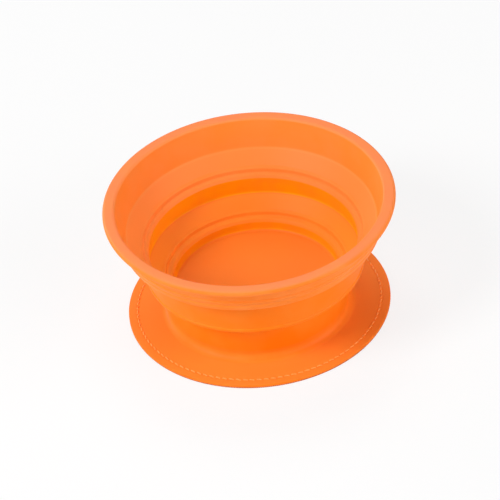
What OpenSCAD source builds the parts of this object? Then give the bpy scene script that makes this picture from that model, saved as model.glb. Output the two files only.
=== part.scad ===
// Collapsible silicone bowl on a sewn round base, standing open.
// The bowl is one moulding: three stiff rings joined by two thin bands that turn inside out.
// Each ring is a body of its own, and each band is a sub-part that bends between two rings.
// The origin is the centre of the base's underside, on the surface that the bowl stands on.

/* [Rim] */
// Outside diameter of the rim's lip
rim_d = 130; // [124:1:140]
// Width of the lip, from its outer edge to the mouth
rim_lip_w = 5.4; // [4:0.1:6.5]
// Thickness of the lip
rim_lip_t = 3.2; // [2.8:0.1:5]
// Rounding of the lip's outer edge, above and below
rim_edge_r = 1.5; // [0.8:0.05:2.5]
// Rounding of the lip's inner edge, at the mouth
rim_mouth_r = 1.6; // [0.5:0.05:2]

/* [Upper ring] */
// Height of the upper ring, from its inside crease to the top of the rim
upper_ring_h = 13.4; // [11:0.2:18]
// How much the upper ring widens inside, from its crease to the mouth
upper_ring_flare = 3.6; // [2:0.2:6]
// Thickness of the upper ring's wall under the lip
upper_wall_t = 2.6; // [1.8:0.1:3.2]
// How far the ridge outside stands out from the crease inside
upper_ridge_w = 1.5; // [1.2:0.1:2.2]
// How far the ridge outside lies below the crease inside
upper_ridge_drop = 0.6; // [0.3:0.1:1]
// Height of the raised bead round the lower part of the upper ring's outside
upper_bead_h = 4.7; // [2.4:0.1:5.6]
// How far that bead stands out from the wall
upper_bead_w = 0.35; // [0.15:0.05:0.6]
// Fillet between the upper wall and the lip's underside
lip_fillet_r = 1.2; // [0.4:0.1:1.8]

/* [Middle ring] */
// Height of the middle ring, from its inside crease to the hinge line above
middle_ring_h = 10.8; // [9:0.2:14]
// Width of the middle ring's ledge, from its inner edge to the hinge line
middle_ledge_w = 2.1; // [1.5:0.1:3]
// How far the middle ring's crease lies inside of the hinge line above
middle_crease_inset = 1; // [0.4:0.1:1.6]
// Thickness of the middle ring at its top
middle_wall_t = 4.2; // [3.6:0.1:5.5]
// How far the ridge outside stands out from the crease inside
middle_ridge_w = 1; // [0.7:0.1:2]
// How far the ridge outside lies below the crease inside
middle_ridge_drop = 2.2; // [1.6:0.1:2.8]

/* [Foot] */
// Height of the lower hinge line above the surface
foot_h = 19.4; // [17:0.2:24]
// Width of the foot's ledge, from its inner edge to the hinge line
foot_ledge_w = 2.8; // [1.8:0.1:3.4]
// Thickness of the foot's wall at its top
foot_wall_t = 4.4; // [4:0.1:6]
// How much the foot's wall narrows from its top to the flare
foot_taper = 1; // [0:0.1:1.4]
// Height of the bowl's floor above the surface
floor_h = 12.6; // [10:0.2:14.5]
// Thickness of the floor
floor_t = 2; // [1.2:0.1:2.4]
// Rounding between the floor and the foot's wall
floor_fillet_r = 1.5; // [0.5:0.1:2]

/* [Folds] */
// Height of the upper fold, from hinge line to crease
upper_fold_h = 8.4; // [6:0.2:11]
// Width of the upper fold, from hinge line out to crease
upper_fold_w = 7.4; // [6:0.2:9]
// Height of the lower fold, from hinge line to crease
lower_fold_h = 7.2; // [5:0.2:10]
// Width of the lower fold, from hinge line out to crease
lower_fold_w = 7.6; // [6:0.2:9]
// Thickness of a fold between its necks
fold_t = 1.1; // [0.9:0.05:1.5]
// Thickness of a fold's neck, where it bends
neck_t = 0.8; // [0.6:0.05:0.85]
// Length of each neck along the fold
neck_w = 1.2; // [0.6:0.1:2]

/* [Ledges] */
// Depth of a ledge's outer edge below the hinge line
ledge_step = 0.8; // [0.5:0.05:1.2]
// How much a ledge falls towards the bowl's middle
ledge_fall = 1.5; // [0.2:0.05:1.8]
// Undercut of the fine groove between a ledge and its fold
groove_undercut = 0.35; // [0.1:0.05:0.6]

/* [Base] */
// Width of the base all round the foot, from the foot's wall to the base's edge
base_brim_w = 18.3; // [16.5:0.1:22]
// Thickness of the moulding's flange at its edge
flange_t = 0.8; // [0.8:0.05:1.6]
// Fillet that flares from the foot's wall into the flange
flare_r = 3.5; // [2.4:0.1:6]
// Thickness of the fabric backing
backing_t = 0.7; // [0.65:0.05:1]
// Thickness of the stiffening board between the flange and the backing
board_t = 0.35; // [0.25:0.05:0.5]
// Distance from the base's edge to the line of stitches
stitch_inset = 4.1; // [3.2:0.1:5]
// Distance from the line of stitches to the board's edge
board_inset = 1.6; // [1:0.1:3]

/* [Stitches] */
// Distance from one stitch to the next
stitch_pitch = 3.1; // [2.8:0.1:5]
// Length of the thread that shows in each stitch
stitch_len = 2; // [1.2:0.1:2.4]
// Diameter of the thread
thread_d = 0.6; // [0.3:0.05:0.6]

/* [Hidden] */
// Clearance round a thread in its groove
thread_fit = 0.02;
// Clearance round the board in its pocket
board_fit = 0.2;
// Gap between a fold and the ring that it meets
fold_gap = 0.06;
// Length of the stub that each ring has beyond its crease or hinge line
stub_len = 1.2;
// Rounding of the creases inside the rings
crease_r = 1.6;
// Rounding of the ridges outside the rings
ridge_r = 0.7;
// Rounding of the bead's upper edge
bead_r = 0.15;
// Rounding of a ledge's inner edge
ledge_r = 0.6;
// Rounding of a ring's outer top corner
shoulder_r = 0.7;
// Rounding in the fine groove and on the fold's foot beside it
groove_r = 0.3;
// Rounding of the flange's edge
flange_edge_r = 0.4;
// Rounding of the backing's lower edge
backing_edge_r = 0.3;
// Overrun of cuts past the faces that they open
overrun = 0.5;
// Most of a side that one rounded corner may take, so that two never meet
corner_share = 0.48;
// Angle of one step along a rounded corner, in degrees
arc_step = 12;
// Smallest rounding that is worth an arc
least_r = 0.001;
// Facets of a full turn, in the preview only
turn_fn = 180;
// Facets of a thread's section, in the preview only
thread_fn = 16;

SILICONE = [1.0, 0.5, 0.16];
SILICONE_LIGHT = [1.0, 0.58, 0.28];
FABRIC = [0.82, 0.38, 0.1];
BOARD = [0.93, 0.93, 0.9];
THREAD = [1.0, 0.68, 0.45];

// Heights, from the surface up
board_z = backing_t + board_t;
flange_z = backing_t + flange_t;
flare_top_z = flange_z + flare_r;
floor_z = floor_h - floor_t;
middle_crease_z = foot_h + lower_fold_h;
middle_hinge_z = middle_crease_z + middle_ring_h;
upper_crease_z = middle_hinge_z + upper_fold_h;
bowl_h = upper_crease_z + upper_ring_h;
lip_z = bowl_h - rim_lip_t;

// Radii, from the rim inwards
rim_r = rim_d / 2;
mouth_r = rim_r - rim_lip_w;
upper_crease_r = mouth_r - upper_ring_flare;
middle_hinge_r = upper_crease_r - upper_fold_w;
middle_in_r = middle_hinge_r - middle_ledge_w;
middle_crease_r = middle_hinge_r - middle_crease_inset;
foot_hinge_r = middle_crease_r - lower_fold_w;
foot_in_r = foot_hinge_r - foot_ledge_w;
foot_top_r = foot_in_r + foot_wall_t;
floor_r = foot_in_r - floor_fillet_r;
foot_low_r = foot_top_r - foot_taper;
flare_out_r = foot_low_r + flare_r;
base_r = foot_low_r + base_brim_w;
stitch_r = base_r - stitch_inset;
board_r = stitch_r - board_inset;

// Creases and hinge lines, as points [radius, height]
UPPER_CREASE = [upper_crease_r, upper_crease_z];
MIDDLE_HINGE = [middle_hinge_r, middle_hinge_z];
MIDDLE_CREASE = [middle_crease_r, middle_crease_z];
FOOT_HINGE = [foot_hinge_r, foot_h];

// Radius of the upper wall's inner face where it meets the lip
lip_in_r = upper_crease_r + upper_ring_flare * (lip_z - upper_crease_z) / upper_ring_h;

// Vector of length one along v
function unit(v) = v / norm(v);
// Direction of a fold, from its hinge line up to its crease
function along(hinge, crease) = unit(crease - hinge);
// Direction out of the underside of a fold
function below(hinge, crease) = [along(hinge, crease).y, -along(hinge, crease).x];
// Point of a section, without its rounding
function place(p) = [p.x, p.y];
// Point of a section with a rounding
function rounded(p, r) = [p.x, p.y, r];

// Points of the arc of radius r that rounds corner b, between its neighbours a and c
function arc_at(a, b, c, r) =
    let (u = unit(a - b), v = unit(c - b))
    let (half = acos(max(-1, min(1, u * v))) / 2)
    let (reach = r / tan(half), middle = b + unit(u + v) * r / sin(half))
    let (first = b + u * reach - middle, last = b + v * reach - middle)
    let (start = atan2(first.y, first.x))
    let (turn = (atan2(last.y, last.x) - start + 540) % 360 - 180)
    let (steps = max(1, ceil(abs(turn) / arc_step)))
    [for (i = [0:steps]) middle + r * [cos(start + turn * i / steps), sin(start + turn * i / steps)]];

// Rounding that fits at corner b: no larger than r, and within its share of both sides
function fitting_r(a, b, c, r) =
    let (half = acos(max(-1, min(1, unit(a - b) * unit(c - b)))) / 2)
    min(r, corner_share * min(norm(a - b), norm(c - b)) * tan(half));

// Rounded corner b, or b itself where there is no rounding
function corner(a, b, c, r) =
    let (fit = r < least_r ? 0 : fitting_r(a, b, c, r))
    fit < least_r ? [b] : arc_at(a, b, c, fit);

// Outline through points [radius, height, rounding]
function outline(points) =
    let (n = len(points))
    [for (i = [0:n - 1])
        each corner(place(points[(i + n - 1) % n]), place(points[i]),
            place(points[(i + 1) % n]), points[i].z)];

// List of points the other way round
function reversed(points) = [for (i = [len(points) - 1:-1:0]) points[i]];

// Solid of revolution with the section given
module turned(points) {
    rotate_extrude($fn = turn_fn) polygon(outline(points));
}

// End face of a ring's stub on a fold, its inner point first
function stub_face(hinge, crease, at) =
    [at, at + below(hinge, crease) * neck_t];

// Ledge, fine groove and stub at the top of a ring, from the ledge's inner edge outwards
function ledge_points(in_r, hinge, crease) =
    let (face = stub_face(hinge, crease, hinge + along(hinge, crease) * stub_len))
    [
        [in_r, hinge.y - ledge_step - ledge_fall, ledge_r],
        [hinge.x + groove_undercut, hinge.y - ledge_step, groove_r],
        rounded(hinge, groove_r),
        rounded(face[0], 0),
        rounded(face[1], 0),
    ];

// Ridge, stub and crease at the bottom of a ring, from the ridge inwards
function crease_points(hinge, crease, ridge_w, ridge_drop) =
    let (face = stub_face(hinge, crease, crease - along(hinge, crease) * stub_len))
    [
        [crease.x + ridge_w, crease.y - ridge_drop, ridge_r],
        rounded(face[1], 0),
        rounded(face[0], 0),
        rounded(crease, crease_r),
    ];

// Band between two rings, with a thinner neck at each end
module fold(hinge, crease) {
    d = along(hinge, crease);
    n = below(hinge, crease);
    low = hinge + d * (stub_len + fold_gap);
    high = crease - d * (stub_len + fold_gap);
    turned([
        rounded(low, 0),
        rounded(high, 0),
        rounded(high + n * neck_t, 0),
        rounded(high - d * neck_w + n * neck_t, ridge_r),
        rounded(high - d * (neck_w + fold_t) + n * fold_t, ridge_r),
        rounded(low + d * (neck_w + fold_t) + n * fold_t, ridge_r),
        rounded(low + d * neck_w + n * neck_t, ridge_r),
        rounded(low + n * neck_t, 0),
    ]);
}

// Row of straight stitches laid round the base at the height given
module stitch_row(z) {
    count = round(2 * PI * stitch_r / stitch_pitch);
    for (i = [0:count - 1])
        rotate([0, 0, i * 360 / count])
            translate([stitch_r, -stitch_len / 2, z])
                rotate([-90, 0, 0])
                    cylinder(d = thread_d, h = stitch_len, $fn = thread_fn);
}

// Groove round the base in which a row of stitches lies, open below or above its middle
module stitch_groove(z, open_dir) {
    groove_d = thread_d + 2 * thread_fit;
    rotate_extrude($fn = turn_fn)
        translate([stitch_r, z])
            union() {
                circle(d = groove_d, $fn = turn_fn);
                translate([-groove_d / 2, open_dir > 0 ? 0 : -groove_d - overrun])
                    square([groove_d, groove_d + overrun]);
            }
}

// Rounded lip round the mouth
module rim_lip() {
    color(SILICONE_LIGHT)
        turned([
            [lip_in_r, lip_z, 0],
            [rim_r, lip_z, rim_edge_r],
            [rim_r, bowl_h, rim_edge_r],
            [mouth_r, bowl_h, rim_mouth_r],
        ]);
}

// Steep wall of the upper ring, from its crease to the lip
module upper_wall() {
    lip_root = [lip_in_r + upper_wall_t, lip_z];
    lip_reach = [rim_r, lip_z];
    wall_foot = [upper_crease_r + upper_ridge_w - upper_bead_w, upper_crease_z - upper_ridge_drop];
    wall_slope = (lip_root - wall_foot) / (lip_root.y - wall_foot.y);
    bead_top = wall_foot + wall_slope * upper_bead_h;
    bead_step = wall_slope * upper_bead_w;
    fillet_r = min(lip_fillet_r, corner_share * (rim_r - rim_edge_r - lip_root.x));
    color(SILICONE)
        turned(concat(
            [[lip_in_r, lip_z, 0]],
            reversed(crease_points(MIDDLE_HINGE, UPPER_CREASE, upper_ridge_w, upper_ridge_drop)),
            [
                rounded(bead_top + [upper_bead_w, 0], bead_r),
                rounded(bead_top + bead_step, bead_r),
            ],
            [for (p = reversed(arc_at(lip_reach, lip_root, wall_foot, fillet_r))) rounded(p, 0)]
        ));
}

// Band between the middle ring and the upper ring
module upper_fold() {
    color(SILICONE_LIGHT) fold(MIDDLE_HINGE, UPPER_CREASE);
}

// Middle ring, a wedge in section: thick at its ledge, thin at its crease
module middle_wall() {
    color(SILICONE)
        turned(concat(
            ledge_points(middle_in_r, MIDDLE_HINGE, UPPER_CREASE),
            [[middle_in_r + middle_wall_t, middle_hinge_z, shoulder_r]],
            crease_points(FOOT_HINGE, MIDDLE_CREASE, middle_ridge_w, middle_ridge_drop)
        ));
}

// Band between the foot and the middle ring
module lower_fold() {
    color(SILICONE_LIGHT) fold(FOOT_HINGE, MIDDLE_CREASE);
}

// Wall of the foot, from the flare up to its ledge, with the toe that rounds into the floor
module foot_wall() {
    fillet = arc_at([floor_r, floor_h], [foot_in_r, floor_h], [foot_in_r, foot_h], floor_fillet_r);
    color(SILICONE)
        turned(concat(
            ledge_points(foot_in_r, FOOT_HINGE, MIDDLE_CREASE),
            [
                [foot_top_r, foot_h, shoulder_r],
                [foot_low_r, flare_top_z, 0],
                [foot_in_r, flare_top_z, 0],
                [foot_in_r, floor_z, 0],
                [floor_r, floor_z, 0],
            ],
            [for (p = fillet) rounded(p, 0)]
        ));
}

// Floor of the bowl, inside the foot's toe
module bowl_floor() {
    color(SILICONE)
        translate([0, 0, floor_z])
            cylinder(r = floor_r, h = floor_t, $fn = turn_fn);
}

// Flare between the foot's wall and the flange, standing on the board
module foot_flare() {
    flare = arc_at([foot_low_r, flare_top_z], [foot_low_r, flange_z],
        [flare_out_r, flange_z], flare_r);
    color(SILICONE)
        turned(concat(
            [[foot_in_r, board_z, 0], [flare_out_r, board_z, 0]],
            [for (p = reversed(flare)) rounded(p, 0)],
            [[foot_in_r, flare_top_z, 0]]
        ));
}

// Flat flange round the flare, with the pocket for the board under it
module base_flange() {
    color(SILICONE_LIGHT)
        difference() {
            turned([
                [flare_out_r, backing_t, 0],
                [base_r, backing_t, 0],
                [base_r, flange_z, flange_edge_r],
                [flare_out_r, flange_z, 0],
            ]);
            translate([0, 0, backing_t - overrun])
                cylinder(r = board_r + board_fit, h = board_t + overrun, $fn = turn_fn);
            stitch_groove(flange_z, 1);
        }
}

// Thin board that keeps the sewn base flat
module base_board() {
    color(BOARD)
        translate([0, 0, backing_t])
            cylinder(r = board_r, h = board_t, $fn = turn_fn);
}

// Fabric disc under the base, which the bowl stands on
module base_backing() {
    color(FABRIC)
        difference() {
            turned([
                [0, 0, 0],
                [base_r, 0, backing_edge_r],
                [base_r, backing_t, 0],
                [0, backing_t, 0],
            ]);
            stitch_groove(thread_d / 2 + thread_fit, -1);
        }
}

// Needle thread, in dashes on top of the flange
module top_stitches() {
    color(THREAD) stitch_row(flange_z);
}

// Bobbin thread, in dashes under the backing
module under_stitches() {
    color(THREAD) stitch_row(thread_d / 2 + thread_fit);
}

rim_lip();
upper_wall();
upper_fold();
middle_wall();
lower_fold();
foot_wall();
bowl_floor();
foot_flare();
base_flange();
base_board();
base_backing();
top_stitches();
under_stitches();
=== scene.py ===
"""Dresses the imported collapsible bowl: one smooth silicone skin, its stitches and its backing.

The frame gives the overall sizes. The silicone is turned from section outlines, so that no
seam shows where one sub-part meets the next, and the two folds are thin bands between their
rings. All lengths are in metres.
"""
import math
import random

import bpy
from mathutils import Matrix, Vector


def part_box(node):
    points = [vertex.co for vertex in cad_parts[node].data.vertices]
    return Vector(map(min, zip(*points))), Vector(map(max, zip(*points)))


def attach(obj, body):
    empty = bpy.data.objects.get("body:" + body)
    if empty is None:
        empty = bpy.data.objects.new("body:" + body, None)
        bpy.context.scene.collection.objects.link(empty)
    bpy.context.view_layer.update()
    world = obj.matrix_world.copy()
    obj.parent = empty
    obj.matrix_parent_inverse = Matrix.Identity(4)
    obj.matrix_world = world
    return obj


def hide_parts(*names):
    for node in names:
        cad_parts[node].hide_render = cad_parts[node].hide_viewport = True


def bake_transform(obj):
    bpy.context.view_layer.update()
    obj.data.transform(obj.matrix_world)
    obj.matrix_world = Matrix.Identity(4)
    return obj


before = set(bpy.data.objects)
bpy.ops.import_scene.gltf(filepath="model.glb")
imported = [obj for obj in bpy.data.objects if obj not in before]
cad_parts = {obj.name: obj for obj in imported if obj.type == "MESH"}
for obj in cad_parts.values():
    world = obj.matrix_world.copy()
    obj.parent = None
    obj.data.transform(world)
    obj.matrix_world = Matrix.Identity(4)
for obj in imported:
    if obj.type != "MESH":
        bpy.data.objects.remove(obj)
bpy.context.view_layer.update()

MM = 0.001

# Sizes that the frame gives
LIP_LOW, LIP_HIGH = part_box("rim_lip")
FLOOR_LOW, FLOOR_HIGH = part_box("bowl_floor")
FLANGE_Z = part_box("base_flange")[1].z
BACKING_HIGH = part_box("base_backing")[1]
BOARD_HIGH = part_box("base_board")[1]
RIM_R = LIP_HIGH.x
BOWL_H = LIP_HIGH.z
LIP_Z = LIP_LOW.z
BASE_R = BACKING_HIGH.x
BACKING_T = BACKING_HIGH.z
FLOOR_Z, FLOOR_H = FLOOR_LOW.z, FLOOR_HIGH.z
BOARD_R, BOARD_Z = BOARD_HIGH.x, BOARD_HIGH.z

# Rim
RIM_LIP_W = 5.4 * MM
RIM_EDGE_R = 1.5 * MM
RIM_MOUTH_R = 1.6 * MM
LIP_FILLET_R = 1.2 * MM
MOUTH_R = RIM_R - RIM_LIP_W

# Creases, hinge lines and ridges, as points (radius, height)
UPPER_CREASE = Vector((56, 45.8)) * MM
UPPER_RIDGE = Vector((57.5, 42.6)) * MM
MIDDLE_HINGE = Vector((48.6, 37.4)) * MM
MIDDLE_CREASE = Vector((47.6, 26.6)) * MM
MIDDLE_RIDGE = Vector((48.6, 22.2)) * MM
FOOT_HINGE = Vector((40, 19.4)) * MM

# Upper ring, with a bead outside that has a shallow dip in it
UPPER_WALL_T = 2.6 * MM
BEAD_H = 6.4 * MM
BEAD_W = 0.5 * MM
BEAD_R = 0.25 * MM
DIP_UP = 4 * MM
DIP_HALF_W = 1.1 * MM
DIP_DEPTH = 0.32 * MM

# Middle ring, with a bead outside
MIDDLE_IN_R = 46.5 * MM
MIDDLE_OUT_R = 50.7 * MM
RING_BEAD_H = 2.7 * MM
RING_BEAD_W = 0.5 * MM
RING_BEAD_R = 0.5 * MM

# Foot and floor
FOOT_IN_R = 37.2 * MM
FOOT_TOP_R = 41.6 * MM
FOOT_TAPER = 1 * MM
FLARE_R = 3.5 * MM
FLARE_TOP_Z = FLANGE_Z + FLARE_R
FLOOR_FILLET_R = 1.5 * MM

# Roundings that the rings share
CREASE_R = 1.6 * MM
RIDGE_R = 0.7 * MM
SHOULDER_R = 0.5 * MM

# Ledges, whose crown is placed from the inner edge and whose step from the hinge line
LEDGE_EDGE_DROP = 2.3 * MM
LEDGE_EDGE_R = 0.5 * MM
LEDGE_CROWN = Vector((0.9, -0.9)) * MM
LEDGE_CROWN_R = 1.2 * MM
STEP_FOOT = Vector((0.2, -0.5)) * MM
STEP_TOP = Vector((0.5, 1.2)) * MM
STEP_R = 0.6 * MM
STEP_END_OUT = 1.5 * MM
STEP_END_R = 2 * MM

# Cuts between the pieces of the one moulding
LIP_CUT_DROP = 2 * MM
FLARE_CUT_RISE = 1.2 * MM
BRIM_CUT_OUT = 1.2 * MM
FLOOR_CUT_IN = 0.6 * MM

# Folds
FOLD_T = 0.95 * MM
ROOT_CLEARANCE = 0.8 * MM
TIP_INSET = 0.75 * MM

# Brim, backing and the pocket of the board
FLANGE_EDGE_R = 0.4 * MM
BACKING_EDGE_R = 0.3 * MM
BOARD_CLEARANCE = 0.2 * MM
SURFACE_MARGIN = 0.01 * MM

# Stitches
STITCH_INSET = 4.1 * MM
STITCH_R = BASE_R - STITCH_INSET
STITCH_PITCH = 3.1 * MM
STITCH_LEN = 2.3 * MM
STITCH_COUNT = round(2 * math.pi * STITCH_R / STITCH_PITCH)
STITCH_LEN_SHARE = (0.95, 1.02)
STITCH_SLANT_DEG = (8, 14)
STITCH_JITTER = 0.02
NEEDLE_Z = FLANGE_Z - 0.08 * MM
NEEDLE_RISE = 0.14 * MM
BOBBIN_Z = 0.42 * MM
BOBBIN_RISE = -0.1 * MM

# Thread, with the lobes of its plies and the dive of a stitch at its ends
THREAD_D = 0.6 * MM
THREAD_FILL = 0.9
PLIES = 3
PLY_DEPTH = 0.16
PLY_TURN = 2.4
DIVE = 2.6
DIVE_POWER = 5

# Seam, which draws the flange in, and the channel under the bobbin thread
SEAM_HALF_W = 1.1 * MM
SEAM_DEPTH = 0.15 * MM
SEAM_BETWEEN = 0.45
CHANNEL_HALF_W = 0.8 * MM
CHANNEL_DEPTH = 0.3 * MM

# Fineness of the meshes
ARC_STEP = math.radians(7)
LONGEST_STEP = 1.0 * MM
FLOOR_STEP = 2.5 * MM
BACKING_STEP = 0.4 * MM
HOLD = 0.15 * MM
ON_AXIS = 1e-9
TURN_STEPS = 256
FOLD_STEPS = 28
SEAM_STEPS = 6
STEPS_A_STITCH = 8
STITCH_RINGS = 15
THREAD_SIDES = 18
SHARP_ANGLE = math.radians(32)
THREAD_SHARP_ANGLE = math.radians(60)

# Colours
# Silicone by facing: paler where it faces up or in, as painted light, and deeper where it faces out,
# as painted shade
RING_UP_LIT = (0.96, 0.248, 0.026)
RING_INWARD_LIT = (0.96, 0.38, 0.002)
RING_OUTWARD_SHADED = (0.96, 0.188, 0.001)
WALL_INWARD_LIT = (0.96, 0.256, 0.033)
WALL_UP_LIT = (0.96, 0.29, 0.065)
WALL_OUTWARD_SHADED = (0.96, 0.215, 0.018)
# Colour of the painted highlight along the rim's top
RIM_HIGHLIGHT = (0.97, 0.244, 0.08)
# Folds: paler than the rings, partly as thin silicone is and partly as painted light; the lower
# fold's copy differs from the upper one by painted light
THIN_COLOUR = (0.97, 0.264, 0.052)
THIN_LOW_COLOUR = (0.97, 0.285, 0.028)
BRIM_UP_LIT = (0.96, 0.256, 0.031)
BRIM_OUTWARD_SHADED = (0.96, 0.188, 0.008)
THREAD_LIGHT = (0.98, 0.38, 0.08)
THREAD_DARK = (0.96, 0.3, 0.04)
FABRIC_LIGHT = (0.72, 0.17, 0.02)
FABRIC_HOLLOW_SHADE = (0.4, 0.08, 0.01)
BOARD_LIGHT = (0.88, 0.88, 0.85)
BOARD_DARK = (0.82, 0.82, 0.79)
FLOOR_COLOUR = (0.85, 0.85, 0.85)

# Silicone, whose colour ramp of painted light and shade runs from facing the axis (0) to facing away
# from it (1)
FACING_STOPS = (0.04, 0.15, 0.5, 0.8)
# Where the painted light on the ledges and the painted highlight on the rim fade out as the silicone
# turns outward, and the heights that they span
PAINTED_LIGHT_FADE = (0.8, 0.97)
LEDGE_LIGHT_DROPS = (2.6 * MM, 2 * MM)
RIM_HIGHLIGHT_H = 1 * MM
CLOUD_SIZE = 14 * MM
CLOUD_DETAIL = 3
CLOUD_LEVELS = (0.35, 0.65)
CLOUD_SHARE = 0.4
CLOUD_SHADE = 0.96
SILICONE_ROUGHNESS = (0.46, 0.54)
SILICONE_IOR = 1.41
SILICONE_SPECULAR = 0.18
SILICONE_GRAIN = 0.25 * MM
SILICONE_GRAIN_DEPTH = 0.012 * MM

# Thread, fabric and board
TONE_LEVELS = (0.3, 0.7)
THREAD_PATCH = 2 * MM
THREAD_ROUGHNESS = 0.6
THREAD_FUZZ = 0.06 * MM
THREAD_FUZZ_DEPTH = 0.02 * MM
WEAVE_PITCH = 0.45 * MM
WEAVE_LEVELS = (0.1, 0.8)
WEAVE_DEPTH = 0.12 * MM
FABRIC_ROUGHNESS = 0.85
FABRIC_FUZZ = 0.08 * MM
FABRIC_FUZZ_DETAIL = 3
FABRIC_FUZZ_DEPTH = 0.03 * MM
BOARD_PATCH = 6 * MM
BOARD_ROUGHNESS = 0.6
BOARD_GRAIN = 0.4 * MM
BOARD_GRAIN_DEPTH = 0.02 * MM

# Colour sockets of a Mix node, whose names its number sockets share
MIX_FIRST, MIX_SECOND, MIX_RESULT = 6, 7, 2

# Floor, world and lamps
AMBIENT = 0.04
FLOOR_WHITE = 0.8
GROUND_HALF_W = 3
LAMP_SIZE = 0.8
SMALL_LAMP_SIZE = 0.5
LAMP_DISTANCE = 1.5
BOWL_MIDDLE = Vector((0, 0, BOWL_H / 2))

# Camera, from the ellipses of the photograph's rings, with lens and sensor in millimetres
ELEVATION = math.radians(38.32)
ROLL = math.radians(6.23)
DISTANCE = 2.1
LENS = 340.0
SENSOR = 36.0
CLIP_END = 10
IMAGE_PX = 500
TARGET = Vector((0, 0, 31.4 * MM))
TARGET_PX = Vector((253.8, 248.8))


# Outlines

def arc_at(a, b, c, radius):
    """Points of the arc that rounds corner b between a and c."""
    u, v = (a - b).normalized(), (c - b).normalized()
    half = math.acos(max(-1, min(1, u.dot(v)))) / 2
    reach = radius / math.tan(half)
    middle = b + (u + v).normalized() * radius / math.sin(half)
    first, last = b + u * reach - middle, b + v * reach - middle
    start = math.atan2(first.y, first.x)
    turn = (math.atan2(last.y, last.x) - start + 3 * math.pi) % (2 * math.pi) - math.pi
    steps = max(2, math.ceil(abs(turn) / ARC_STEP))
    return [
        middle + radius * Vector((math.cos(start + turn * i / steps),
                                  math.sin(start + turn * i / steps)))
        for i in range(steps + 1)
    ]


def section(corners):
    """Closed outline through corners (radius, height, rounding)."""
    count = len(corners)
    points = []
    for i, (r, z, rounding) in enumerate(corners):
        before = Vector(corners[i - 1][:2])
        after = Vector(corners[(i + 1) % count][:2])
        here = Vector((r, z))
        points += arc_at(before, here, after, rounding) if rounding else [here]
    return points


def pairs(items, closed):
    """Each item with the next one, and the last with the first where the row is closed."""
    return list(zip(items, items[1:] + items[:1])) if closed else list(zip(items, items[1:]))


def stepped(points, closed=True, longest=LONGEST_STEP):
    """The outline with more points on its long straights, and one close to each end of them."""
    result = []
    for a, b in pairs(points, closed):
        length = (b - a).length
        result.append(a)
        if length > 3 * HOLD:
            inner = math.ceil((length - 2 * HOLD) / longest)
            for i in range(inner + 1):
                result.append(a + (b - a) * (HOLD + (length - 2 * HOLD) * i / inner) / length)
    return result if closed else result + [points[-1]]


def corner(point, rounding=0):
    """Corner of a section at the point, sharp unless a rounding is given."""
    return (point.x, point.y, rounding)


def bell(across):
    """One in the middle of a band, falling smoothly to zero at its edge, where across is one."""
    return 0.5 + 0.5 * math.cos(math.pi * across)


# Meshes

def new_piece(name, vertices, faces, sharp_angle=SHARP_ANGLE):
    """Object with a smooth mesh, sharp only where faces meet at a real edge."""
    mesh = bpy.data.meshes.new(name)
    mesh.from_pydata(vertices, [], faces)
    mesh.validate()
    mesh.shade_smooth()
    mesh.set_sharp_from_angle(angle=sharp_angle)
    piece = bpy.data.objects.new(name, mesh)
    bpy.context.scene.collection.objects.link(piece)
    return piece


def turned(name, points, closed=True, steps=TURN_STEPS, shift=None):
    """Piece turned round the axis from an outline that runs clockwise; a point on the axis is
    a single vertex. shift(angle, point) may move a vertex up or down."""
    vertices, rows = [], []
    for p in points:
        if p.x < ON_AXIS:
            rows.append([len(vertices)] * steps)
            vertices.append((0, 0, p.y))
            continue
        rows.append(list(range(len(vertices), len(vertices) + steps)))
        for i in range(steps):
            angle = 2 * math.pi * i / steps
            z = p.y + (shift(angle, p) if shift else 0)
            vertices.append((p.x * math.cos(angle), p.x * math.sin(angle), z))
    faces = []
    for low, high in pairs(rows, closed):
        for i in range(steps):
            j = (i + 1) % steps
            corners = dict.fromkeys((low[i], high[i], high[j], low[j]))
            if len(corners) > 2:
                faces.append(list(corners))
    return new_piece(name, vertices, faces)


def dress(piece, body, material, slot, *nodes):
    """Gives a finished piece its material and its body, and hides the nodes that it stands for."""
    piece.data.materials.append(material)
    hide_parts(*nodes)
    if body:
        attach(piece, body)


# Shader nodes

def new_material(name):
    """Material with an empty node tree, its shader and its coordinates in metres."""
    material = bpy.data.materials.new(name)
    material.use_nodes = True
    tree = material.node_tree
    tree.nodes.clear()
    output = tree.nodes.new("ShaderNodeOutputMaterial")
    shader = tree.nodes.new("ShaderNodeBsdfPrincipled")
    tree.links.new(shader.outputs["BSDF"], output.inputs["Surface"])
    place = tree.nodes.new("ShaderNodeTexCoord").outputs["Object"]
    return material, tree, shader, place


def coordinates(tree, place):
    """Sockets X, Y and Z of a place."""
    node = tree.nodes.new("ShaderNodeSeparateXYZ")
    tree.links.new(place, node.inputs["Vector"])
    return node.outputs


def noise(tree, place, size, detail=2):
    """Noise whose grains are about the size given."""
    node = tree.nodes.new("ShaderNodeTexNoise")
    node.inputs["Scale"].default_value = 1 / size
    node.inputs["Detail"].default_value = detail
    tree.links.new(place, node.inputs["Vector"])
    return node.outputs["Fac"]


def between(tree, factor, low, high, start=0, end=1):
    """Value from low to high as the factor goes from start to end."""
    node = tree.nodes.new("ShaderNodeMapRange")
    node.inputs["From Min"].default_value = start
    node.inputs["From Max"].default_value = end
    node.inputs["To Min"].default_value = low
    node.inputs["To Max"].default_value = high
    tree.links.new(factor, node.inputs["Value"])
    return node.outputs["Result"]


def mixed(tree, share, colour, other):
    """The colour, with the share given of the other colour."""
    node = tree.nodes.new("ShaderNodeMix")
    node.data_type = "RGBA"
    tree.links.new(share, node.inputs["Factor"])
    tree.links.new(colour, node.inputs[MIX_FIRST])
    node.inputs[MIX_SECOND].default_value = (*other, 1)
    return node.outputs[MIX_RESULT]


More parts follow.
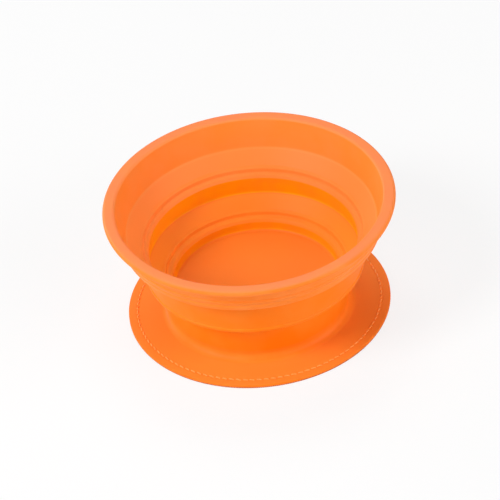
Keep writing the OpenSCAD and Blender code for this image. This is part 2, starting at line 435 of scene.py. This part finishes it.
def colours(tree, factor, positions, shades):
    """Colour ramp with a shade at each position, from the lowest position up."""
    node = tree.nodes.new("ShaderNodeValToRGB")
    elements = node.color_ramp.elements
    for position in positions[1:-1]:
        elements.new(position)
    for element, position, shade in zip(elements, positions, shades):
        element.position = position
        element.color = (*shade, 1)
    tree.links.new(factor, node.inputs["Fac"])
    return node.outputs["Color"]


def bumped(tree, shader, height, distance, under=None):
    """Bump of the depth given on the shader, on top of another bump where there is one."""
    bump = tree.nodes.new("ShaderNodeBump")
    bump.inputs["Distance"].default_value = distance
    tree.links.new(height, bump.inputs["Height"])
    if under:
        tree.links.new(under, bump.inputs["Normal"])
    tree.links.new(bump.outputs["Normal"], shader.inputs["Normal"])
    return bump.outputs["Normal"]


def maths(tree, operation, *values):
    """Result of the operation on values that are each a number or a socket."""
    node = tree.nodes.new("ShaderNodeMath")
    node.operation = operation
    for socket, value in zip(node.inputs, values):
        if isinstance(value, (int, float)):
            socket.default_value = value
        else:
            tree.links.new(value, socket)
    return node.outputs["Value"]


def outwardness(tree, place):
    """One where the surface faces away from the axis, and minus one where it faces it."""
    flat = tree.nodes.new("ShaderNodeVectorMath")
    flat.operation = "MULTIPLY"
    flat.inputs[1].default_value = (1, 1, 0)
    tree.links.new(place, flat.inputs[0])
    away = tree.nodes.new("ShaderNodeVectorMath")
    away.operation = "NORMALIZE"
    tree.links.new(flat.outputs["Vector"], away.inputs[0])
    dot = tree.nodes.new("ShaderNodeVectorMath")
    dot.operation = "DOT_PRODUCT"
    tree.links.new(away.outputs["Vector"], dot.inputs[0])
    tree.links.new(place.node.outputs["Normal"], dot.inputs[1])
    return dot.outputs["Value"]


# Materials

def silicone_material(name, inward, up, outward, painted_light=None):
    """Matte silicone with faint clouds, a fine grain and a soft gloss, in one colour each for
    where it faces the axis, up and outward: paler up and in as painted light, deeper outward as
    painted shade. With a band of painted light, given as two heights and a colour, it turns to
    that colour from the one height to the other, except where it faces outward."""
    material, tree, shader, place = new_material(name)
    facing = between(tree, outwardness(tree, place), 0, 1, -1, 1)
    base = colours(tree, facing, FACING_STOPS, (inward, up, up, outward))
    if painted_light:
        low, high, colour = painted_light
        raised = between(tree, coordinates(tree, place)["Z"], 0, 1, low, high)
        turned_in = between(tree, facing, 1, 0, *PAINTED_LIGHT_FADE)
        base = mixed(tree, maths(tree, "MULTIPLY", raised, turned_in), base, colour)
    clouds = noise(tree, place, CLOUD_SIZE, CLOUD_DETAIL)
    darker = tuple(c * CLOUD_SHADE for c in up)
    share = between(tree, clouds, CLOUD_SHARE, 0, *CLOUD_LEVELS)
    tree.links.new(mixed(tree, share, base, darker), shader.inputs["Base Color"])
    tree.links.new(between(tree, clouds, *SILICONE_ROUGHNESS), shader.inputs["Roughness"])
    shader.inputs["IOR"].default_value = SILICONE_IOR
    shader.inputs["Specular IOR Level"].default_value = SILICONE_SPECULAR
    bumped(tree, shader, noise(tree, place, SILICONE_GRAIN), SILICONE_GRAIN_DEPTH)
    return material


def ring_material(name, hinge, fold_colour):
    """Silicone of a ring, whose ledge takes the paler colour of its fold just below the hinge line,
    as painted light on the up-facing ledge.
    """
    low, high = (hinge.y - drop for drop in LEDGE_LIGHT_DROPS)
    return silicone_material(name, RING_INWARD_LIT, RING_UP_LIT, RING_OUTWARD_SHADED, (low, high, fold_colour))


def thread_material():
    """Polyester thread: a light colour that changes a little from stitch to stitch."""
    material, tree, shader, place = new_material("thread")
    tone = colours(tree, noise(tree, place, THREAD_PATCH), TONE_LEVELS, (THREAD_DARK, THREAD_LIGHT))
    tree.links.new(tone, shader.inputs["Base Color"])
    shader.inputs["Roughness"].default_value = THREAD_ROUGHNESS
    bumped(tree, shader, noise(tree, place, THREAD_FUZZ), THREAD_FUZZ_DEPTH)
    return material


def weave_material():
    """Plain weave: threads that pass over and under each other, with a little fuzz, and painted
    shade where the weave sinks.
    """
    material, tree, shader, place = new_material("backing_fabric")
    at = coordinates(tree, place)
    turn = math.pi / WEAVE_PITCH
    across = maths(tree, "SINE", maths(tree, "MULTIPLY", at["X"], turn))
    along = maths(tree, "SINE", maths(tree, "MULTIPLY", at["Y"], turn))
    height = between(tree, maths(tree, "MULTIPLY", across, along), 0, 1, -1, 1)
    # Darker where the weave sinks: painted shade in its hollows
    tone = colours(tree, height, WEAVE_LEVELS, (FABRIC_HOLLOW_SHADE, FABRIC_LIGHT))
    tree.links.new(tone, shader.inputs["Base Color"])
    shader.inputs["Roughness"].default_value = FABRIC_ROUGHNESS
    fuzz = noise(tree, place, FABRIC_FUZZ, FABRIC_FUZZ_DETAIL)
    under = bumped(tree, shader, fuzz, FABRIC_FUZZ_DEPTH)
    bumped(tree, shader, height, WEAVE_DEPTH, under)
    return material


def board_material():
    """White plastic board with a faint grain."""
    material, tree, shader, place = new_material("board")
    tone = colours(tree, noise(tree, place, BOARD_PATCH), TONE_LEVELS, (BOARD_DARK, BOARD_LIGHT))
    tree.links.new(tone, shader.inputs["Base Color"])
    shader.inputs["Roughness"].default_value = BOARD_ROUGHNESS
    bumped(tree, shader, noise(tree, place, BOARD_GRAIN), BOARD_GRAIN_DEPTH)
    return material


# One silicone in lit and shaded copies: the colours that set the rim, wall, rings, folds and brim
# apart are painted light and shade, with a painted highlight on the rim's top
silicone_rim = silicone_material("silicone_rim", WALL_INWARD_LIT, WALL_UP_LIT, WALL_OUTWARD_SHADED,
                                 (BOWL_H - RIM_HIGHLIGHT_H, BOWL_H, RIM_HIGHLIGHT))
silicone_wall = silicone_material("silicone_wall", WALL_INWARD_LIT, WALL_UP_LIT, WALL_OUTWARD_SHADED)
silicone_middle = ring_material("silicone_middle", MIDDLE_HINGE, THIN_COLOUR)
silicone_foot = ring_material("silicone_foot", FOOT_HINGE, THIN_LOW_COLOUR)
silicone_thin = silicone_material("silicone_thin", THIN_COLOUR, THIN_COLOUR, THIN_COLOUR)
silicone_thin_low = silicone_material("silicone_thin_low", THIN_LOW_COLOUR, THIN_LOW_COLOUR,
                                      THIN_LOW_COLOUR)
silicone_brim = silicone_material("silicone_brim", BRIM_UP_LIT, BRIM_UP_LIT, BRIM_OUTWARD_SHADED)
thread = thread_material()
fabric = weave_material()
board = board_material()


# Fold bands

class Fold:
    """A band between a hinge line and a crease, with its faces a fixed height apart."""

    def __init__(self, hinge, crease):
        run = crease - hinge
        self.hinge = hinge
        self.slope = run.y / run.x
        self.depth = FOLD_T * run.length / run.x
        self.root_r = hinge.x + (self.depth + ROOT_CLEARANCE) / self.slope
        self.tip_r = crease.x - TIP_INSET

    def inside(self, r):
        """Point of the inner face at radius r."""
        return Vector((r, self.hinge.y + (r - self.hinge.x) * self.slope))

    def outside(self, r):
        """Point of the outer face at radius r."""
        return self.inside(r) - Vector((0, self.depth))


def fold_band(name, fold, material, node):
    """The two faces of a fold, between the ring below and the ring above. Each face
    is a piece of its own."""
    for side, face in (("inside", fold.inside), ("outside", fold.outside)):
        points = [face(fold.root_r + (fold.tip_r - fold.root_r) * i / FOLD_STEPS)
                  for i in range(FOLD_STEPS + 1)]
        if side == "outside":
            points.reverse()
        piece = turned(name + "_" + side, points, closed=False)
        dress(piece, None, material, "silicone_thin", node)
        face(fold.root_r).y
        face(fold.tip_r).y
        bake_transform(piece)


def ledge(in_r, fold):
    """Corners of a ring's top: a rounded ledge, then the steep step up to its fold."""
    hinge = fold.hinge
    return [
        (in_r, hinge.y - LEDGE_EDGE_DROP, LEDGE_EDGE_R),
        corner(Vector((in_r, hinge.y)) + LEDGE_CROWN, LEDGE_CROWN_R),
        corner(hinge + STEP_FOOT, STEP_R),
        corner(hinge + STEP_TOP, STEP_R),
        corner(fold.inside(hinge.x + STEP_END_OUT), STEP_END_R),
    ]


upper = Fold(MIDDLE_HINGE, UPPER_CREASE)
lower = Fold(FOOT_HINGE, MIDDLE_CREASE)


# Lip, rings and the folds between them

def on_side(foot, top, up, out=0):
    """Point of a straight side, so high above its foot and so far out from it."""
    return foot + (top - foot) / (top.y - foot.y) * up + Vector((out, 0))


def on_wall(up, out=0):
    """Point of the upper wall's outside, so high above its ridge and so far out from it."""
    return on_side(WALL_FOOT, LIP_ROOT, up, out)


def on_ring(up, out=0):
    """Point of the middle ring's outside, so high above its ridge and so far out from it."""
    return on_side(RING_FOOT, RING_SHOULDER, up, out)


WALL_LEAN = (MOUTH_R - UPPER_CREASE.x) / (BOWL_H - UPPER_CREASE.y)
LIP_IN_R = UPPER_CREASE.x + WALL_LEAN * (LIP_Z - UPPER_CREASE.y)
LIP_ROOT = Vector((LIP_IN_R + UPPER_WALL_T, LIP_Z))
WALL_FOOT = UPPER_RIDGE - Vector((BEAD_W, 0))
CUT_Z = LIP_Z - LIP_CUT_DROP
WALL_CUT_IN = Vector((UPPER_CREASE.x + WALL_LEAN * (CUT_Z - UPPER_CREASE.y), CUT_Z))
WALL_CUT_OUT = on_wall(CUT_Z - WALL_FOOT.y)
RING_FOOT = MIDDLE_RIDGE - Vector((RING_BEAD_W, 0))
RING_SHOULDER = Vector((MIDDLE_OUT_R, MIDDLE_HINGE.y))

lip = turned("lip", stepped(section([
    corner(WALL_CUT_IN),
    (MOUTH_R, BOWL_H, RIM_MOUTH_R),
    (RIM_R, BOWL_H, RIM_EDGE_R),
    (RIM_R, LIP_Z, RIM_EDGE_R),
    corner(LIP_ROOT, LIP_FILLET_R),
    corner(WALL_CUT_OUT),
])))
dress(lip, "rim", silicone_rim, "silicone", "rim_lip")

upper_ring = turned("upper_ring", stepped(section([
    corner(upper.inside(upper.tip_r)),
    corner(UPPER_CREASE, CREASE_R),
    corner(WALL_CUT_IN),
    corner(WALL_CUT_OUT),
    corner(on_wall(BEAD_H + BEAD_W), BEAD_R),
    corner(on_wall(BEAD_H, BEAD_W), BEAD_R),
    corner(on_wall(DIP_UP + DIP_HALF_W, BEAD_W), DIP_HALF_W),
    corner(on_wall(DIP_UP, BEAD_W - DIP_DEPTH), DIP_HALF_W),
    corner(on_wall(DIP_UP - DIP_HALF_W, BEAD_W), DIP_HALF_W),
    corner(UPPER_RIDGE, RIDGE_R),
    corner(upper.outside(UPPER_CREASE.x), RIDGE_R),
    corner(upper.outside(upper.tip_r)),
])))
dress(upper_ring, "rim", silicone_wall, "silicone", "upper_wall")

fold_band("upper_band", upper, silicone_thin, "upper_fold")

middle_ring = turned("middle_ring", stepped(section([
    corner(lower.inside(lower.tip_r)),
    corner(MIDDLE_CREASE, CREASE_R),
    *ledge(MIDDLE_IN_R, upper),
    corner(upper.inside(upper.root_r)),
    corner(upper.outside(upper.root_r)),
    corner(RING_SHOULDER, SHOULDER_R),
    corner(on_ring(RING_BEAD_H + RING_BEAD_W), RING_BEAD_R),
    corner(on_ring(RING_BEAD_H, RING_BEAD_W), RING_BEAD_R),
    corner(MIDDLE_RIDGE, RIDGE_R),
    corner(lower.outside(lower.tip_r)),
])))
dress(middle_ring, "middle", silicone_middle, "silicone", "middle_wall")

fold_band("lower_band", lower, silicone_thin_low, "lower_fold")

# Foot, from its ledge down to the flare
FOOT_LEAN = FOOT_TAPER / (FOOT_HINGE.y - FLARE_TOP_Z)
FLARE_CORNER = Vector((FOOT_TOP_R - FOOT_LEAN * (FOOT_HINGE.y - FLANGE_Z), FLANGE_Z))
FLARE_CUT_Z = FLARE_TOP_Z + FLARE_CUT_RISE
FLARE_CUT = Vector((FOOT_TOP_R - FOOT_LEAN * (FOOT_HINGE.y - FLARE_CUT_Z), FLARE_CUT_Z))
FLOOR_CUT_R = FOOT_IN_R - FLOOR_FILLET_R - FLOOR_CUT_IN
BRIM_CUT_R = FLARE_CORNER.x + FLARE_R + BRIM_CUT_OUT

foot_ring = turned("foot_ring", stepped(section([
    (FLOOR_CUT_R, FLOOR_H, 0),
    (FOOT_IN_R, FLOOR_H, FLOOR_FILLET_R),
    *ledge(FOOT_IN_R, lower),
    corner(lower.inside(lower.root_r)),
    corner(lower.outside(lower.root_r)),
    (FOOT_TOP_R, FOOT_HINGE.y, SHOULDER_R),
    corner(FLARE_CUT),
    (FOOT_IN_R, FLARE_CUT_Z, 0),
    (FOOT_IN_R, FLOOR_Z, 0),
    (FLOOR_CUT_R, FLOOR_Z, 0),
])))
dress(foot_ring, "base", silicone_foot, "silicone", "foot_wall")

floor_disc = turned("floor_disc", stepped(section([
    (0, FLOOR_H, 0),
    (FLOOR_CUT_R, FLOOR_H, 0),
    (FLOOR_CUT_R, FLOOR_Z, 0),
    (0, FLOOR_Z, 0),
]), closed=False, longest=FLOOR_STEP), closed=False)
dress(floor_disc, "base", silicone_foot, "silicone", "bowl_floor")

flare = turned("flare", stepped(section([
    (FOOT_IN_R, FLARE_CUT_Z, 0),
    corner(FLARE_CUT),
    corner(FLARE_CORNER, FLARE_R),
    (BRIM_CUT_R, FLANGE_Z, 0),
    (BRIM_CUT_R, BOARD_Z, 0),
    (FOOT_IN_R, BOARD_Z, 0),
])))
dress(flare, "base", silicone_brim, "silicone", "foot_flare")


# Brim, drawn in along its stitches

def seam_dip(angle, point):
    """How far the seam pulls the top face down: most where the thread goes through."""
    across = abs(point.x - STITCH_R) / SEAM_HALF_W
    if across >= 1 or point.y < FLANGE_Z - SURFACE_MARGIN:
        return 0
    hole = 0.5 - 0.5 * math.cos(angle * STITCH_COUNT)
    return -SEAM_DEPTH * bell(across) * (SEAM_BETWEEN + (1 - SEAM_BETWEEN) * hole)


SEAM_RADII = [STITCH_R + SEAM_HALF_W * i / SEAM_STEPS for i in range(-SEAM_STEPS, SEAM_STEPS + 1)]
POCKET_R = BOARD_R + BOARD_CLEARANCE

brim = turned("brim", stepped(section([
    (BRIM_CUT_R, FLANGE_Z, 0),
    *[(r, FLANGE_Z, 0) for r in SEAM_RADII],
    (BASE_R, FLANGE_Z, FLANGE_EDGE_R),
    (BASE_R, BACKING_T, 0),
    (POCKET_R, BACKING_T, 0),
    (POCKET_R, BOARD_Z, 0),
    (BRIM_CUT_R, BOARD_Z, 0),
])), steps=STITCH_COUNT * STEPS_A_STITCH, shift=seam_dip)
dress(brim, "base", silicone_brim, "silicone", "base_flange")


# Board, which keeps the solid's own mesh

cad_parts["base_board"].data.materials.clear()
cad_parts["base_board"].data.materials.append(board)


# Fabric backing, with a channel under its stitches

def channel_rise(angle, point):
    """How far the underside rises over the bobbin thread."""
    across = abs(point.x - STITCH_R) / CHANNEL_HALF_W
    if across >= 1 or point.y > BACKING_T / 2:
        return 0
    return CHANNEL_DEPTH * bell(across)


backing = turned("backing", stepped(section([
    (0, BACKING_T, 0),
    (BASE_R, BACKING_T, 0),
    (BASE_R, 0, BACKING_EDGE_R),
    (STITCH_R + CHANNEL_HALF_W, 0, 0),
    (STITCH_R - CHANNEL_HALF_W, 0, 0),
    (0, 0, 0),
]), closed=False, longest=BACKING_STEP), closed=False, shift=channel_rise)
dress(backing, "base", fabric, "backing_fabric", "base_backing")


# Stitches of twisted thread

def stitch_row(name, height, rise, seed):
    """Row of stitches that arch by rise, up or down, and dive into the base at their ends."""
    rng = random.Random(seed)
    vertices, faces = [], []
    for n in range(STITCH_COUNT):
        angle = 2 * math.pi * (n + rng.uniform(-STITCH_JITTER, STITCH_JITTER)) / STITCH_COUNT
        slant = math.radians(rng.uniform(*STITCH_SLANT_DEG))
        length = STITCH_LEN * rng.uniform(*STITCH_LEN_SHARE)
        outward = Vector((math.cos(angle), math.sin(angle), 0))
        forward = Vector((-math.sin(angle), math.cos(angle), 0))
        lean = forward * math.cos(slant) + outward * math.sin(slant)
        side = outward * math.cos(slant) - forward * math.sin(slant)
        first = len(vertices)
        for k in range(STITCH_RINGS):
            share = 2 * k / (STITCH_RINGS - 1) - 1
            lift = rise * (1 - DIVE * abs(share) ** DIVE_POWER)
            centre = outward * STITCH_R + lean * (share * length / 2) + Vector((0, 0, height + lift))
            for m in range(THREAD_SIDES):
                turn = 2 * math.pi * m / THREAD_SIDES
                lobe = 1 + PLY_DEPTH * math.cos(PLIES * (turn - PLY_TURN * share))
                reach = THREAD_D / 2 * THREAD_FILL * lobe
                vertices.append(centre + side * (reach * math.cos(turn))
                                + Vector((0, 0, reach * math.sin(turn))))
        for k in range(STITCH_RINGS - 1):
            ring = first + k * THREAD_SIDES
            for m in range(THREAD_SIDES):
                a, b = ring + m, ring + (m + 1) % THREAD_SIDES
                faces.append([a, a + THREAD_SIDES, b + THREAD_SIDES, b])
        last = first + (STITCH_RINGS - 1) * THREAD_SIDES
        faces.append([first + m for m in range(THREAD_SIDES)])
        faces.append([last + m for m in reversed(range(THREAD_SIDES))])
    return new_piece(name, vertices, faces, THREAD_SHARP_ANGLE)


needle_thread = stitch_row("needle_thread", NEEDLE_Z, NEEDLE_RISE, seed=11)
dress(needle_thread, "base", thread, "thread", "top_stitches")
bobbin_thread = stitch_row("bobbin_thread", BOBBIN_Z, BOBBIN_RISE, seed=12)
dress(bobbin_thread, "base", thread, "thread", "under_stitches")


# Floor and world

def seen_directly(tree):
    """One for rays from the camera, from gloss and through glass, and zero for light."""
    rays = tree.nodes.new("ShaderNodeLightPath").outputs
    seen = rays["Is Camera Ray"]
    for kind in ("Is Glossy Ray", "Is Transmission Ray"):
        seen = maths(tree, "MAXIMUM", seen, rays[kind])
    return seen


def floor_material():
    """Pale floor that looks white where nothing shades it, and keeps a faint shadow."""
    material = bpy.data.materials.new("studio_floor")
    material.use_nodes = True
    tree = material.node_tree
    tree.nodes.clear()
    output = tree.nodes.new("ShaderNodeOutputMaterial")
    paint = tree.nodes.new("ShaderNodeBsdfDiffuse")
    paint.inputs["Color"].default_value = (*FLOOR_COLOUR, 1)
    white = tree.nodes.new("ShaderNodeEmission")
    white.inputs["Strength"].default_value = 1
    mix = tree.nodes.new("ShaderNodeMixShader")
    tree.links.new(maths(tree, "MULTIPLY", seen_directly(tree), FLOOR_WHITE), mix.inputs["Fac"])
    tree.links.new(paint.outputs["BSDF"], mix.inputs[1])
    tree.links.new(white.outputs["Emission"], mix.inputs[2])
    tree.links.new(mix.outputs["Shader"], output.inputs["Surface"])
    return material


def studio_world():
    """White surroundings: bright to the camera and in reflections, dim as light."""
    world = bpy.data.worlds.new("studio")
    world.use_nodes = True
    tree = world.node_tree
    tree.nodes.clear()
    output = tree.nodes.new("ShaderNodeOutputWorld")
    light = tree.nodes.new("ShaderNodeBackground")
    light.inputs["Strength"].default_value = AMBIENT
    shown = tree.nodes.new("ShaderNodeBackground")
    shown.inputs["Strength"].default_value = 1
    mix = tree.nodes.new("ShaderNodeMixShader")
    tree.links.new(seen_directly(tree), mix.inputs["Fac"])
    tree.links.new(light.outputs["Background"], mix.inputs[1])
    tree.links.new(shown.outputs["Background"], mix.inputs[2])
    tree.links.new(mix.outputs["Shader"], output.inputs["Surface"])
    bpy.context.scene.world = world


GROUND_CORNERS = [(x * GROUND_HALF_W, y * GROUND_HALF_W, 0)
                  for x, y in ((-1, -1), (1, -1), (1, 1), (-1, 1))]
ground = new_piece("studio_ground", GROUND_CORNERS, [[0, 1, 2, 3]])
ground.data.materials.append(floor_material())
studio_world()


# Lamps

def softbox(name, azimuth, elevation, power, size=LAMP_SIZE):
    """Square area light of so many watts, aimed at the bowl from an azimuth and an elevation in
    degrees. Azimuth 0 is behind the camera, and 90 on its right."""
    data = bpy.data.lights.new(name, "AREA")
    data.size = size
    data.energy = power
    lamp = bpy.data.objects.new(name, data)
    a, e = math.radians(azimuth), math.radians(elevation)
    back = Vector((math.sin(a) * math.cos(e), -math.cos(a) * math.cos(e), math.sin(e)))
    lamp.location = BOWL_MIDDLE + back * LAMP_DISTANCE
    lamp.rotation_euler = back.to_track_quat("Z", "Y").to_euler()
    bpy.context.scene.collection.objects.link(lamp)


softbox("key", 300, 45, 12.8, SMALL_LAMP_SIZE)
softbox("left", 285, 20, 6.3)
softbox("front_low", 345, 5, 5.2)
softbox("back_left", 225, 10, 5.4, SMALL_LAMP_SIZE)
softbox("back", 180, 60, 7.0)
softbox("right", 75, 20, 8.2)
softbox("front_right", 45, 30, 6.8)


# Camera

view_back = Vector((0, -math.cos(ELEVATION), math.sin(ELEVATION)))
view_up = Vector((0, math.sin(ELEVATION), math.cos(ELEVATION)))
view_right = Vector((1, 0, 0))
camera_right = view_right * math.cos(ROLL) - view_up * math.sin(ROLL)
camera_up = view_up * math.cos(ROLL) + view_right * math.sin(ROLL)
metres_a_px = SENSOR * DISTANCE / (LENS * IMAGE_PX)
aim = (TARGET - camera_right * (TARGET_PX.x - IMAGE_PX / 2) * metres_a_px
       + camera_up * (TARGET_PX.y - IMAGE_PX / 2) * metres_a_px)

camera_data = bpy.data.cameras.new("camera")
camera_data.lens = LENS
camera_data.sensor_width = SENSOR
camera_data.clip_end = CLIP_END
camera = bpy.data.objects.new("camera", camera_data)
camera.location = aim + view_back * DISTANCE
camera.rotation_euler = Matrix((camera_right, camera_up, view_back)).transposed().to_euler()
bpy.context.scene.collection.objects.link(camera)
bpy.context.scene.camera = camera
bpy.context.scene.view_settings.view_transform = "Standard"
